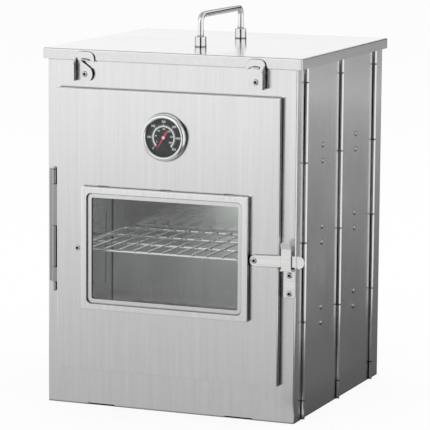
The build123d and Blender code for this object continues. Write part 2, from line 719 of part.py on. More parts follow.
# ================= rivets in the door =================
with BuildPart() as door_rivet:
    rivet(front.offset(door_depth), [(bezel_left - 7.9, pivot_z - 0.7)], pivot_r, sheet,
          rivet_head_r, rivet_head)
door_rivet.part.label = "door_rivet"

with BuildPart() as pivot_rivet:
    rivet(front.offset(lever_back + lever_thick + pivot_play), [(pivot_x, pivot_z)], pivot_r,
          lever_gap + lever_thick + pivot_play + sheet, rivet_head_r, rivet_head, rivet_head_r, sheet)
    with BuildSketch(front.offset(door_depth)):
        with Locations((pivot_x, pivot_z)):
            Circle(rivet_head_r)
    extrude(amount=lever_gap - pivot_play)
pivot_rivet.part.label = "pivot_rivet"

# ================= latch lever =================
lever_plane = Plane((left_x + pivot_x, front_y - lever_back, pivot_z),
                    x_dir=(cos(radians(lever_rise)), 0, sin(radians(lever_rise))), z_dir=(0, -1, 0))
grip_start = lever_straight + grip_step_run
grip_end = (body_width + grip_reach - pivot_x)
lever_section = Plane(lever_plane.origin, x_dir=lever_plane.x_dir, z_dir=-lever_plane.y_dir)
with BuildPart() as latch_lever:
    with BuildSketch(lever_section):
        with BuildLine():
            Polyline((-lever_end_r, 0), (lever_straight, 0), (grip_start, grip_step), (grip_end, grip_step),
                     (grip_end, grip_step + lever_thick), (grip_start - 0.5, grip_step + lever_thick),
                     (lever_straight - 0.5, lever_thick), (-lever_end_r, lever_thick), close=True)
        make_face()
    extrude(amount=lever_half + 2, both=True)
    with BuildSketch(lever_plane):
        Circle(lever_end_r)
        with Locations((lever_straight / 2, 0)):
            Rectangle(lever_straight, 2 * lever_half)
        with Locations((lever_straight + grip_step_run / 2, 0)):
            Rectangle(grip_step_run, 2 * lever_half)
        with Locations((grip_end - grip_r, 0)):
            Circle(grip_r)
            with Locations((-(grip_end - grip_r - grip_start) / 2, 0)):
                Rectangle(grip_end - grip_r - grip_start, 2 * grip_r)
        Circle(pivot_r + pivot_play, mode=Mode.SUBTRACT)
    extrude(amount=grip_step + 2 * lever_thick, mode=Mode.INTERSECT)
latch_lever.part.label = "latch_lever"

# ================= keeper =================
keeper_side = side.offset(keeper_x)
with BuildPart() as latch_keeper:
    with BuildSketch(keeper_side):
        with BuildLine():
            spine = Polyline((-lever_thick / 2, keeper_low),
                             (-lever_thick / 2, keeper_ledge - lever_thick / 2),
                             (-arm_back - lever_thick / 2, keeper_ledge - lever_thick / 2),
                             (-arm_back - lever_thick / 2, keeper_bend),
                             (-arm_back - lever_thick / 2 - keeper_flare, keeper_tip))
            offset(amount=lever_thick / 2, side=Side.BOTH)
        make_face()
    extrude(amount=keeper_base / 2, both=True)
    with BuildSketch(front):
        with Locations((keeper_x, (keeper_low + keeper_ledge) / 2)):
            Rectangle(keeper_base, keeper_ledge - keeper_low + lever_thick)
            fillet(vertices().group_by(Axis.Y)[0], 2)
        with Locations((keeper_x, (keeper_ledge + keeper_tip) / 2 - 2)):
            Rectangle(keeper_arm, keeper_tip - keeper_ledge + 4)
            fillet(vertices().group_by(Axis.Y)[-1], keeper_arm * 0.45)
        with Locations((keeper_x, keeper_rivet_low), (keeper_x, keeper_rivet_high)):
            Circle(keeper_rivet_r, mode=Mode.SUBTRACT)
    extrude(amount=arm_front + keeper_flare + lever_thick, mode=Mode.INTERSECT)
latch_keeper.part.label = "latch_keeper"

with BuildPart() as keeper_rivets:
    rivet(front.offset(lever_thick), [(keeper_x, keeper_rivet_low), (keeper_x, keeper_rivet_high)],
          keeper_rivet_r, lever_thick + sheet, rivet_head_r, rivet_head)
keeper_rivets.part.label = "keeper_rivets"


# ================= racks =================
rack_right = body_width / 2 + opening_width / 2 - rack_side_gap - rack_bar_r
rack_rear = rack_front + rack_depth


def rack(row):
    """A welded wire rack that lies on one row of ledges: a rod loop, two cross rods and the wires."""
    bars = ledge_seats[row] + rack_seat_gap + rack_bar_r
    bend_x, bend_y = rack_right - rack_corner, rack_front + rack_corner
    rack_mid = (rack_front + rack_rear) / 2
    with BuildSketch(side.offset(body_width / 2)) as profile:
        with Locations((rack_front, bars), (rack_front + rack_depth / 3, bars)):
            RegularPolygon(rack_bar_r, rod_sides, major_radius=False, rotation=180 / rod_sides)
    extrude(profile.sketch.faces().sort_by(Axis.Y)[0], amount=bend_x - body_width / 2)
    extrude(profile.sketch.faces().sort_by(Axis.Y)[1], amount=rack_right - body_width / 2)
    with BuildSketch(front.offset(-bend_y)) as profile:
        with Locations((rack_right, bars)):
            RegularPolygon(rack_bar_r, rod_sides, major_radius=False, rotation=180 / rod_sides)
    extrude(profile.sketch, amount=bend_y - rack_mid)
    revolve(profile.sketch, axis=Axis(plan.from_local_coords((bend_x, bend_y, 0)), (0, 0, 1)),
            revolution_arc=-90)
    mirror(about=Plane(plan.from_local_coords((0, rack_mid, 0)), x_dir=(1, 0, 0), z_dir=(0, 1, 0)))
    wires = bars + rack_bar_r + rack_wire_r + rack_weld_gap
    with BuildSketch(front.offset(rack_wire_overhang + rack_bar_r - rack_front)) as profile:
        with Locations((body_width / 2 + rack_wire_pitch * rack_wires / 4, wires)):
            with GridLocations(rack_wire_pitch, 1, rack_wires // 2, 1):
                RegularPolygon(rack_wire_r, rod_sides, major_radius=False, rotation=180 / rod_sides)
    extrude(profile.sketch, amount=-(rack_depth + 2 * (rack_wire_overhang + rack_bar_r)))
    mirror(about=middle)


with BuildPart() as upper_rack:
    rack(upper_rack_row)
upper_rack.part.label = "upper_rack"
with BuildPart() as lower_rack:
    rack(lower_rack_row)
lower_rack.part.label = "lower_rack"

# ================= write every piece =================
pieces = [
    front_panel, rear_panel, right_front_leaf, right_rear_leaf, left_front_leaf, left_rear_leaf,
    right_front_pin, right_middle_pin, right_rear_pin, left_front_pin, left_middle_pin, left_rear_pin,
    right_front_ledges, right_rear_ledges, left_front_ledges, left_rear_ledges,
    floor_tray, clip_spacers, clip_rivets,
    hinge_leaf_fixed, door_hinge_pin, latch_keeper, keeper_rivets,
    lid_shell, lid_handle, handle_collars, handle_nuts, clip_left, clip_right,
    door_panel, hinge_leaf_door, window_bezel, window_frame, window_glass, window_gasket,
    thermometer_case, thermometer_ring, thermometer_dial, thermometer_lens, thermometer_stem,
    thermometer_nut, thermometer_pointer, door_rivet, pivot_rivet, latch_lever,
    upper_rack, lower_rack,
]
for piece in pieces:
    export_step(piece.part, f"parts/{piece.part.label}.step")
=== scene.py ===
import math

import bmesh
import bpy
from mathutils import Matrix, Vector


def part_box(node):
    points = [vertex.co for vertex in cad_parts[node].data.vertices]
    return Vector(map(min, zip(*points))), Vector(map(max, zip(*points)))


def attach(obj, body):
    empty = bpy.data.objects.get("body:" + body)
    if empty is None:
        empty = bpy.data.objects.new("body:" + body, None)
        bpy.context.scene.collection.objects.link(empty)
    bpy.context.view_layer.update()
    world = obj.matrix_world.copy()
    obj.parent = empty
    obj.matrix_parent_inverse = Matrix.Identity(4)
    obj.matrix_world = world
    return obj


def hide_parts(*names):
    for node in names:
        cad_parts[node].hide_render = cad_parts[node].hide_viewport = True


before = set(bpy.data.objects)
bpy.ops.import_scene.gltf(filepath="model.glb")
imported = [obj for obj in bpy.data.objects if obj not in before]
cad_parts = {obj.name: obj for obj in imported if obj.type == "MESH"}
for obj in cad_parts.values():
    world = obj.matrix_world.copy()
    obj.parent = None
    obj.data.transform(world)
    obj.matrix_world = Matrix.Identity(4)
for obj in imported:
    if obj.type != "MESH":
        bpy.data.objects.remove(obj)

bl_info = {
    "name": "Folding camp oven",
    "version": (1, 0, 0),
    "blender": (4, 5, 0),
    "location": "View3D > Sidebar > Camp oven",
    "description": "Bends the handle and racks, sets the rivets, prints the dial and finishes the "
                   "steel of a folding camp oven",
    "category": "Object",
}

# The oven's sizes are written in millimetres, and its places as on its drawing, from the body's
# front lower left corner. The stage is in metres, in the frame.
MM = 0.001
PANEL_LOW, PANEL_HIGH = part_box("front_panel")
REAR_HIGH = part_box("rear_panel")[1]
BODY_WIDTH, BODY_DEPTH = 300.0, 290.0
CORNER = Vector(((PANEL_LOW.x + PANEL_HIGH.x) / 2 - BODY_WIDTH * MM / 2,
                 REAR_HIGH.y - BODY_DEPTH * MM, 0))
LID_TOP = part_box("lid_shell")[1].z / MM
SHEET = 1.0  # thickness of the sheet steel
UP, FORWARD, RIGHT = Vector((0, 0, 1)), Vector((0, -1, 0)), Vector((1, 0, 0))


def spot(x, y, z):
    """Point of the frame that lies x, y, z millimetres from the body's front lower left corner."""
    return CORNER + Vector((x, y, z)) * MM


def drawn_box(name):
    """Lowest and highest corners of a node, in millimetres on the drawing."""
    return [(corner - CORNER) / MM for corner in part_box(name)]


def linear(code):
    """Linear red, green, blue and alpha of an sRGB hex colour."""
    parts = [int(code[i:i + 2], 16) / 255 for i in (1, 3, 5)]
    return (*[c / 12.92 if c <= 0.04045 else ((c + 0.055) / 1.055) ** 2.4 for c in parts], 1.0)


def tinted(tone, share):
    """A linear colour times a share, which makes it darker or lighter."""
    return (*[min(1, part * share) for part in tone[:3]], 1.0)


# ---------------------------------------------------------------- sizes and colours to change
def length(name, description, default):
    """A size that a user may change, whose default is given in millimetres."""
    return bpy.props.FloatProperty(name=name, description=description, default=default * MM,
                                   min=0.01 * MM, unit="LENGTH", precision=5)


def colour(name, description, default):
    """A colour that a user may change, whose default is given as sRGB hex."""
    return bpy.props.FloatVectorProperty(name=name, description=description,
                                         default=linear(default), size=4, min=0, max=1,
                                         subtype="COLOR")


class OvenSizes(bpy.types.PropertyGroup):
    """Sizes of the pieces that are bent, turned and riveted here."""
    handle_radius: length("Handle rod", "Radius of the lid handle's rod", 3.6)
    handle_corner: length("Handle bend", "Radius of the handle's bends, at the rod's middle", 9.0)
    rack_bar_radius: length("Rack bar", "Radius of the rack's rim and cross bars", 1.5)
    rack_wire_radius: length("Rack wire", "Radius of the wires laid across the rack", 1.0)
    rack_corner: length("Rack corner", "Radius of the rim's corners, at the bar's middle", 12.0)
    rivet_head: length("Rivet head", "Radius of a blind rivet's head", 3.3)
    wall_rivet_head: length("Wall rivet head", "Radius of the ledge rivets' heads", 3.3)
    number_height: length("Dial numbers", "Height of the outer row of numbers", 2.3)
    grain: length("Brushed grain", "Width of one brushed scratch on the sheet", 0.5)


class OvenColours(bpy.types.PropertyGroup):
    """Colours of the finishes."""
    steel: colour("Sheet steel", "Brushed stainless sheet", "#ededec")
    steel_dark: colour("Sheet steel, dark streak", "Darker streaks of the sheet", "#e5e5e6")
    chrome: colour("Chrome", "Plated handle, collars and thermometer ring", "#f2f3f4")
    wire: colour("Rack wire", "Nickel-plated wire of the racks", "#efeeec")
    dial: colour("Dial", "Enamelled face of the thermometer", "#202122")
    ink: colour("Dial ink", "Scale and numbers on the dial", "#eeeeec")
    needle: colour("Needle", "Lacquer of the thermometer's needle", "#e03c5c")
    gasket: colour("Gasket", "Cord behind the window glass", "#2d2c2b")


# ---------------------------------------------------------------- modelling by hand
def begin(add, **start):
    """Adds a primitive at its size and place, with nothing else selected, and opens it to edit."""
    bpy.ops.object.select_all(action="DESELECT")
    add(**start)
    bpy.ops.object.transform_apply(location=True, rotation=True, scale=True)
    bpy.ops.object.mode_set(mode="EDIT")
    bpy.ops.mesh.select_mode(type="VERT")


def pick(kind, wanted):
    """Selects, in edit mode, the elements of one kind for which wanted(element) is true."""
    bpy.ops.mesh.select_mode(type=kind)
    bpy.ops.mesh.select_all(action="DESELECT")
    mesh = bpy.context.edit_object.data
    shape = bmesh.from_edit_mesh(mesh)
    elements = {"VERT": shape.verts, "FACE": shape.faces}[kind]
    found = [element for element in elements if wanted(element)]
    if not found:
        raise RuntimeError(f"nothing to select on {bpy.context.edit_object.name}")
    for element in found:
        element.select_set(True)
    shape.select_flush_mode()
    bmesh.update_edit_mesh(mesh)


def extrude(way):
    """Extrudes what is selected by a vector in millimetres."""
    bpy.ops.mesh.extrude_region_move(TRANSFORM_OT_translate={"value": Vector(way) * MM})


def spin(centre, axis, degrees, steps):
    """Spins what is selected right-handed round an axis through centre; Blender's angle isn't."""
    bpy.ops.mesh.spin(steps=steps, angle=-math.radians(degrees), center=centre, axis=axis)


def close_up():
    """Welds the open piece's doubled points, turns its faces outwards and leaves edit mode."""
    bpy.ops.mesh.select_all(action="SELECT")
    bpy.ops.mesh.remove_doubles(threshold=0.002 * MM)
    bpy.ops.mesh.normals_make_consistent(inside=False)
    bpy.ops.object.mode_set(mode="OBJECT")
    return bpy.context.object


def turn(place, way, profile, sides=32, bored=False):
    """Turns a round piece by extruding and resizing its end.

    The profile lists (along, radius) in millimetres; a bored piece starts with no end face."""
    (along, radius), *steps = profile
    begin(bpy.ops.mesh.primitive_circle_add, vertices=sides, radius=radius * MM,
          fill_type="NOTHING" if bored else "NGON", location=place + way * along * MM,
          rotation=way.to_track_quat("Z", "Y").to_euler())
    bpy.ops.mesh.select_all(action="SELECT")
    for next_along, next_radius in steps:
        extrude(way * (next_along - along))
        bpy.ops.transform.resize(value=(next_radius / radius,) * 3)
        along, radius = next_along, next_radius
    return close_up()


def copies(piece, shifts):
    """Copies a piece, each with its own mesh, to every shift in millimetres.

    The first of the pieces that it returns is the one that was copied."""
    made = [piece]
    for shift in shifts:
        bpy.ops.object.select_all(action="DESELECT")
        piece.select_set(True)
        bpy.context.view_layer.objects.active = piece
        bpy.ops.object.duplicate_move(OBJECT_OT_duplicate={"linked": False},
                                      TRANSFORM_OT_translate={"value": Vector(shift) * MM})
        bpy.ops.object.transform_apply(location=True, rotation=True, scale=True)
        made.append(bpy.context.object)
    return made


def join(pieces):
    """Joins pieces into the first one, and leaves only that one selected."""
    bpy.ops.object.select_all(action="DESELECT")
    for piece in pieces:
        piece.select_set(True)
    bpy.context.view_layer.objects.active = pieces[0]
    if len(pieces) > 1:
        bpy.ops.object.join()
    return bpy.context.object


def complete(piece, name, body, finish, corner=32, stands_for=()):
    """Smooths a piece up to the corner angle in degrees, names it, and gives it its finish,
    body and slot, and the nodes that it stands for."""
    join([piece])
    bpy.ops.object.shade_smooth_by_angle(angle=math.radians(corner))
    piece.name = piece.data.name = name
    if not piece.data.materials:
        piece.data.materials.append(bpy.data.materials[finish])
    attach(piece, body)
    if stands_for:
        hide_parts(*stands_for)


# ---------------------------------------------------------------- finishes
def node(tree, kind, inputs=None, **settings):
    """Adds a node with its settings; an input is a value, or a socket to link from."""
    made = tree.nodes.new(kind)
    for name, value in settings.items():
        setattr(made, name, value)
    for name, value in (inputs or {}).items():
        if isinstance(value, bpy.types.NodeSocket):
            tree.links.new(value, made.inputs[name])
        else:
            made.inputs[name].default_value = value
    return made


def blank(name):
    """A new material's node tree, emptied."""
    made = bpy.data.materials.new(name)
    made.use_nodes = True
    made.node_tree.nodes.clear()
    return made.node_tree


def put(tree, shader):
    """Links a shader to the material's output."""
    node(tree, "ShaderNodeOutputMaterial", {"Surface": shader.outputs[0]})


def any_ray(tree, first, *others):
    """Socket that is 1 for a ray of any of the named kinds, and 0 for the rest."""
    rays = node(tree, "ShaderNodeLightPath").outputs
    found = rays[first]
    for kind in others:
        found = node(tree, "ShaderNodeMath", {0: found, 1: rays[kind]},
                     operation="MAXIMUM").outputs[0]
    return found


def in_corners(tree, metal):
    """Paints shade into a metal's colour in its inside corners, from an ambient-occlusion node."""
    # Painted shade reaches only what lies within 4 mm. A corner with 48% of the room in sight is
    # painted dark and one with 78% keeps its colour, which paints a shade line 1.5 mm wide along a
    # square corner.
    crease = node(tree, "ShaderNodeAmbientOcclusion", {"Distance": 4 * MM})
    unshaded = node(tree, "ShaderNodeMapRange", {
        "Value": crease.outputs["AO"], "From Min": 0.48, "From Max": 0.78})
    # The near black #141414 is the painted shade in the corners.
    mix = node(tree, "ShaderNodeMix", {
        "Factor": unshaded.outputs[0], "A": linear("#141414"), "B": metal}, data_type="RGBA")
    return mix.outputs["Result"]


def at_knuckles(tree, metal):
    """Paints shade into a metal's colour at the joints between the walls' knuckles, where the gaps
    lie in shade.
    """
    # Joints come every 89 mm from 22 mm above the ground. Each gap is 0.5 mm, too fine to show,
    # so its painted shade is drawn as a dark ring 1.4 mm wide, on what stands more than 0.4 mm
    # outside the walls.
    first, pitch, half_ring = 22 * MM, 89 * MM, 0.7 * MM
    reach = (BODY_WIDTH / 2 + 0.4) * MM
    place = node(tree, "ShaderNodeSeparateXYZ",
                 {0: node(tree, "ShaderNodeTexCoord").outputs["Object"]})
    off = node(tree, "ShaderNodeMath", {0: place.outputs["X"], 1: spot(BODY_WIDTH / 2, 0, 0).x},
               operation="SUBTRACT")
    off = node(tree, "ShaderNodeMath", {0: off.outputs[0]}, operation="ABSOLUTE")
    outside = node(tree, "ShaderNodeMath", {0: off.outputs[0], 1: reach},
                   operation="GREATER_THAN")
    step = node(tree, "ShaderNodeMath", {0: place.outputs["Z"], 1: first}, operation="SUBTRACT")
    step = node(tree, "ShaderNodeMath", {0: step.outputs[0], 1: pitch / 2}, operation="PINGPONG")
    end = node(tree, "ShaderNodeMath", {0: step.outputs[0], 1: half_ring}, operation="LESS_THAN")
    ring = node(tree, "ShaderNodeMath", {0: outside.outputs[0], 1: end.outputs[0]},
                operation="MULTIPLY")
    # The ring's near black is painted shade for the gap between two knuckles.
    mix = node(tree, "ShaderNodeMix", {
        "Factor": ring.outputs[0], "A": metal, "B": linear("#1e1e1e")}, data_type="RGBA")
    return mix.outputs["Result"]


def brushed_sheet(name, grain_way, light, dark, rough, stretch):
    """Stainless sheet brushed with a 180-grit belt.

    Its long parallel scratches along grain_way blur a reflection across the grain and keep it
    along the grain, and the belt leaves faint streaks of lighter and darker steel."""
    # A real scratch is about 0.1 mm wide; it is drawn 0.5 mm wide and 60 mm long, to show at all.
    # The belt's streaks are 5 mm wide and 400 mm long, and clouds of handling are 90 mm across.
    grain = bpy.context.scene.oven_sizes.grain
    fine_scale = [1 / (60 * MM) if axis == grain_way else 1 / grain for axis in "XYZ"]
    streak_scale = [1 / (400 * MM) if axis == grain_way else 1 / (5 * MM) for axis in "XYZ"]
    cloud_scale = 1 / (90 * MM)
    swing = 0.05
    tree = blank(name)
    place = node(tree, "ShaderNodeTexCoord").outputs["Object"]
    fine_place = node(tree, "ShaderNodeMapping", {"Vector": place, "Scale": fine_scale})
    fine = node(tree, "ShaderNodeTexNoise", {
        "Vector": fine_place.outputs[0], "Scale": 1.0, "Detail": 3.0, "Roughness": 0.6})
    streak_place = node(tree, "ShaderNodeMapping", {"Vector": place, "Scale": streak_scale})
    streak = node(tree, "ShaderNodeTexNoise", {
        "Vector": streak_place.outputs[0], "Scale": 1.0, "Detail": 4.0, "Roughness": 0.65})
    cloud = node(tree, "ShaderNodeTexNoise", {
        "Vector": place, "Scale": cloud_scale, "Detail": 2.0})
    both = node(tree, "ShaderNodeMath", {0: streak.outputs[0], 1: fine.outputs[0]},
                operation="ADD")
    share = node(tree, "ShaderNodeMapRange", {
        "Value": both.outputs[0], "From Min": 0.75, "From Max": 1.25})
    steel = node(tree, "ShaderNodeMix", {
        "Factor": share.outputs[0], "A": dark, "B": light}, data_type="RGBA")
    # The clouds only change how sharp the gloss is.
    gloss = node(tree, "ShaderNodeMath", {0: cloud.outputs[0], 1: fine.outputs[0]},
                 operation="ADD")
    gloss = node(tree, "ShaderNodeMapRange", {
        "Value": gloss.outputs[0], "From Min": 0.7, "From Max": 1.3,
        "To Min": rough - swing, "To Max": rough + swing})
    relief = node(tree, "ShaderNodeBump", {
        "Height": fine.outputs[0], "Strength": 0.12, "Distance": 0.02 * MM})
    tangent = node(tree, "ShaderNodeTangent", direction_type="RADIAL", axis=grain_way)
    put(tree, node(tree, "ShaderNodeBsdfPrincipled", {
        "Base Color": at_knuckles(tree, in_corners(tree, steel.outputs["Result"])),
        "Metallic": 1.0, "Roughness": gloss.outputs[0], "Anisotropic": stretch,
        "Normal": relief.outputs[0], "Tangent": tangent.outputs[0]}))


def bright_metal(name, light, rough, wander, speck):
    """Plated or drawn metal: a near mirror whose faint waviness bends the reflections.

    Its haze, in specks of the given millimetres, is a little duller and darker in places."""
    tree = blank(name)
    place = node(tree, "ShaderNodeTexCoord").outputs["Object"]
    haze = node(tree, "ShaderNodeTexNoise", {
        "Vector": place, "Scale": 1 / (speck * MM), "Detail": 4.0, "Roughness": 0.6})
    gloss = node(tree, "ShaderNodeMapRange", {
        "Value": haze.outputs[0], "From Min": 0.3, "From Max": 0.7,
        "To Min": rough * 0.6, "To Max": rough * 1.5})
    # Waviness of the ground or drawn metal, 6 mm from crest to crest.
    wave = node(tree, "ShaderNodeTexNoise", {
        "Vector": place, "Scale": 1 / (6 * MM), "Detail": 1.0})
    relief = node(tree, "ShaderNodeBump", {
        "Height": wave.outputs[0], "Strength": wander, "Distance": 0.05 * MM})
    tone = node(tree, "ShaderNodeMix", {
        "Factor": haze.outputs[0], "A": light, "B": tinted(light, 0.9)}, data_type="RGBA")
    put(tree, node(tree, "ShaderNodeBsdfPrincipled", {
        "Base Color": in_corners(tree, tone.outputs["Result"]), "Metallic": 1.0,
        "Roughness": gloss.outputs[0], "Normal": relief.outputs[0]}))


def clear_glass(name, bend):
    """Polished glass, clear and flat, with a faint green cast and wiped smudges in its gloss.

    The bend is its index of refraction."""
    tree = blank(name)
    place = node(tree, "ShaderNodeTexCoord").outputs["Object"]
    # Wiping marks, 25 mm across.
    smudge = node(tree, "ShaderNodeTexNoise", {
        "Vector": place, "Scale": 1 / (25 * MM), "Detail": 3.0})
    haze = node(tree, "ShaderNodeMapRange", {
        "Value": smudge.outputs[0], "From Min": 0.5, "From Max": 0.8,
        "To Min": 0.0, "To Max": 0.06})
    glass = node(tree, "ShaderNodeBsdfPrincipled", {
        "Base Color": linear("#f6faf8"), "Roughness": haze.outputs[0], "IOR": bend,
        "Transmission Weight": 1.0})
    # Light that has met the racks or walls passes straight through, as through a thin real pane.
    clear = node(tree, "ShaderNodeBsdfTransparent", {"Color": linear("#fafcfb")})
    passing = any_ray(tree, "Is Shadow Ray", "Is Diffuse Ray", "Is Glossy Ray")
    put(tree, node(tree, "ShaderNodeMixShader", {
        0: passing, 1: glass.outputs[0], 2: clear.outputs[0]}))


def coat(tree, base, rough, pattern, patch, relief, depth):
    """Ends a satin or dull material whose tint and relief follow a pattern.

    The colour goes from base to patch times base, and depth is in millimetres."""
    tone = node(tree, "ShaderNodeMix", {
        "Factor": pattern.outputs[0], "A": base, "B": tinted(base, patch)}, data_type="RGBA")
    bump = node(tree, "ShaderNodeBump", {
        "Height": pattern.outputs[0], "Strength": relief, "Distance": depth * MM})
    put(tree, node(tree, "ShaderNodeBsdfPrincipled", {
        "Base Color": tone.outputs["Result"], "Roughness": rough, "Normal": bump.outputs[0]}))


def coating(name, base, rough, speck, detail, patch, relief):
    """An even coat of paint, ink or enamel, with specks of the given millimetres."""
    tree = blank(name)
    place = node(tree, "ShaderNodeTexCoord").outputs["Object"]
    spots = node(tree, "ShaderNodeTexNoise", {
        "Vector": place, "Scale": 1 / (speck * MM), "Detail": detail})
    coat(tree, base, rough, spots, patch, relief, depth=0.02)


def braided_cord(name, base):
    """Graphited glass-fibre cord: a dull black braid."""
    tree = blank(name)
    place = node(tree, "ShaderNodeTexCoord").outputs["Object"]
    # Strands are 1.2 mm wide, with as much between them. At scale 1 a wave's band is about
    # 0.16 wide.
    scale = 0.159236 / (1.2 * MM)
    one, two = (node(tree, "ShaderNodeTexWave", {
        "Vector": place, "Scale": scale, "Distortion": 1.0}, bands_direction=way)
        for way in ("DIAGONAL", "X"))
    weave = node(tree, "ShaderNodeMath", {0: one.outputs["Fac"], 1: two.outputs["Fac"]},
                 operation="MULTIPLY")
    coat(tree, base, 0.85, weave, patch=2.2, relief=0.6, depth=0.3)


FINISH_OF_NODE = {
    "brushed_stainless_upright": [
        "front_panel", "rear_panel", "door_panel", "window_frame",
        "right_front_leaf", "right_rear_leaf", "left_front_leaf", "left_rear_leaf",
        "right_front_ledges", "right_rear_ledges", "left_front_ledges", "left_rear_ledges"],
    "bright_annealed_bezel": ["window_bezel"],
    "brushed_stainless_lid": ["lid_shell", "floor_tray"],
    "stamped_stainless": ["clip_left", "clip_right", "clip_spacers"],
    "polished_latch_steel": ["latch_lever", "latch_keeper"],
    # The door hinge's darker steel is painted shade for the gaps round its barrel.
    "rolled_hinge_steel_shaded": ["hinge_leaf_fixed", "hinge_leaf_door"],
    "chrome_plate": ["lid_handle", "handle_collars", "thermometer_ring", "thermometer_case"],
    "drawn_pin_steel": [
        "right_front_pin", "right_middle_pin", "right_rear_pin", "left_front_pin",
        "left_middle_pin", "left_rear_pin", "door_hinge_pin", "thermometer_stem"],
    "zinc_plate": ["handle_nuts", "thermometer_nut"],
    "rivet_steel": ["keeper_rivets", "pivot_rivet", "door_rivet", "clip_rivets"],
    "nickel_wire": ["upper_rack", "lower_rack"],
    "tempered_glass": ["window_glass"],
    "lens_glass": ["thermometer_lens"],
    "glass_fibre_cord": ["window_gasket"],
    "dial_enamel": ["thermometer_dial"],
    "needle_lacquer": ["thermometer_pointer"],
}


class OVEN_OT_finishes(bpy.types.Operator):
    """Mixes every finish and gives the frame's own pieces theirs"""
    bl_idname = "oven.finishes"
    bl_label = "Finishes"

    def execute(self, context):
        colours = context.scene.oven_colours
        steel, steel_dark = tuple(colours.steel), tuple(colours.steel_dark)
        # Walls, door and panels are brushed upright, so what they mirror is drawn out sideways.
        # The bezel is the palest strip. The lid is brushed from front to rear with a finer belt
        # and mirrors more. Clips and latch are tumbled, with a soft gloss, and the rolled door
        # hinge has a tighter gloss and is painted darker, as shade for the gaps round its barrel.
        for name, way, light, dark, rough, stretch in (
                ("brushed_stainless_upright", "Z", steel, steel_dark, 0.21, 0.6),
                ("bright_annealed_bezel", "Z", linear("#fbfbfa"), steel, 0.21, 0.6),
                ("brushed_stainless_lid", "Y", linear("#e9e9e8"), linear("#e0e0e1"), 0.15, 0.3),
                ("stamped_stainless", "X", steel, steel_dark, 0.26, 0.3),
                ("polished_latch_steel", "X", linear("#fdfdfc"), steel, 0.30, 0.3),
                ("rolled_hinge_steel_shaded", "Z", linear("#b2b2b2"), linear("#a2a2a3"), 0.18, 0.3)):
            brushed_sheet(name, way, light, dark, rough, stretch)
        # Chrome is the sharpest mirror. Drawn pins, nickel and zinc plate are softer, rivet heads
        # come polished from the die, and the broken mandrel in a blind rivet is dark and rough;
        # its near black is also painted shade for the rivet's deep hollow.
        for name, light, rough, wander, speck in (
                ("chrome_plate", tuple(colours.chrome), 0.06, 0.10, 8),
                ("drawn_pin_steel", linear("#b9b9b8"), 0.22, 0.05, 5),
                ("zinc_plate", linear("#c4c3bb"), 0.30, 0.25, 2),
                ("rivet_steel", linear("#dededd"), 0.14, 0.10, 3),
                ("solid_rivet_steel", linear("#b4b4b3"), 0.12, 0.10, 3),
                ("mandrel_steel_hollow_shade", linear("#171718"), 0.5, 0.3, 1),
                ("nickel_wire", tuple(colours.wire), 0.20, 0.12, 12)):
            bright_metal(name, light, rough, wander, speck)
        clear_glass("tempered_glass", bend=1.5)
        clear_glass("lens_glass", bend=1.4)
        braided_cord("glass_fibre_cord", tuple(colours.gasket))
        # Baked enamel has a fine orange peel; lacquer and ink lie thicker in some spots.
        coating("dial_enamel", tuple(colours.dial), rough=0.42, speck=0.8, detail=3.0,
                patch=1.35, relief=0.3)
        for name, base, rough, speck in (
                ("needle_lacquer", tuple(colours.needle), 0.35, 2.0),
                ("dial_ink", tuple(colours.ink), 0.5, 1.0)):
            coating(name, base, rough, speck, detail=2.0, patch=0.86, relief=0.2)
        for finish, names in FINISH_OF_NODE.items():
            for name in names:
                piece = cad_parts[name]
                piece.data.materials.clear()
                piece.data.materials.append(bpy.data.materials[finish])
        return {"FINISHED"}


# ---------------------------------------------------------------- pieces
class OVEN_OT_lid_handle(bpy.types.Operator):
    """Bends the lid handle from one rod, with a stud on each foot"""
    bl_idname = "oven.lid_handle"
    bl_label = "Lid handle"

    def execute(self, context):
        sizes = context.scene.oven_sizes
        low, high = drawn_box("lid_handle")
        radius, corner = sizes.handle_radius / MM, sizes.handle_corner / MM
        stud, stud_edge, bend_steps = 3.0, 0.5, 10
        middle_x, top = (low.x + high.x) / 2, high.z - radius
        front, rear = low.y + radius, high.y - radius
        begin(bpy.ops.mesh.primitive_circle_add, vertices=32, radius=sizes.handle_radius,
              fill_type="NGON", location=spot(middle_x, front, LID_TOP))
        bpy.ops.mesh.select_all(action="SELECT")
        extrude((0, 0, top - corner - LID_TOP))
        spin(spot(middle_x, front + corner, top - corner), RIGHT, -90, bend_steps)
        extrude((0, rear - front - 2 * corner, 0))
        spin(spot(middle_x, rear - corner, top - corner), RIGHT, -90, bend_steps)
        extrude((0, 0, LID_TOP - top + corner))
        for foot in (spot(middle_x, front, LID_TOP), spot(middle_x, rear, LID_TOP)):
            pick("FACE", lambda face, foot=foot:
                 (face.calc_center_median() - foot).length < 1 * MM)
            bpy.ops.mesh.inset(thickness=(radius - stud) * MM, depth=0)
            extrude((0, 0, low.z - LID_TOP))
            bpy.ops.mesh.bevel(offset=stud_edge * MM, segments=2)
        complete(close_up(), "bent_handle", "lid", "chrome_plate",
                 stands_for=["lid_handle"])
        return {"FINISHED"}


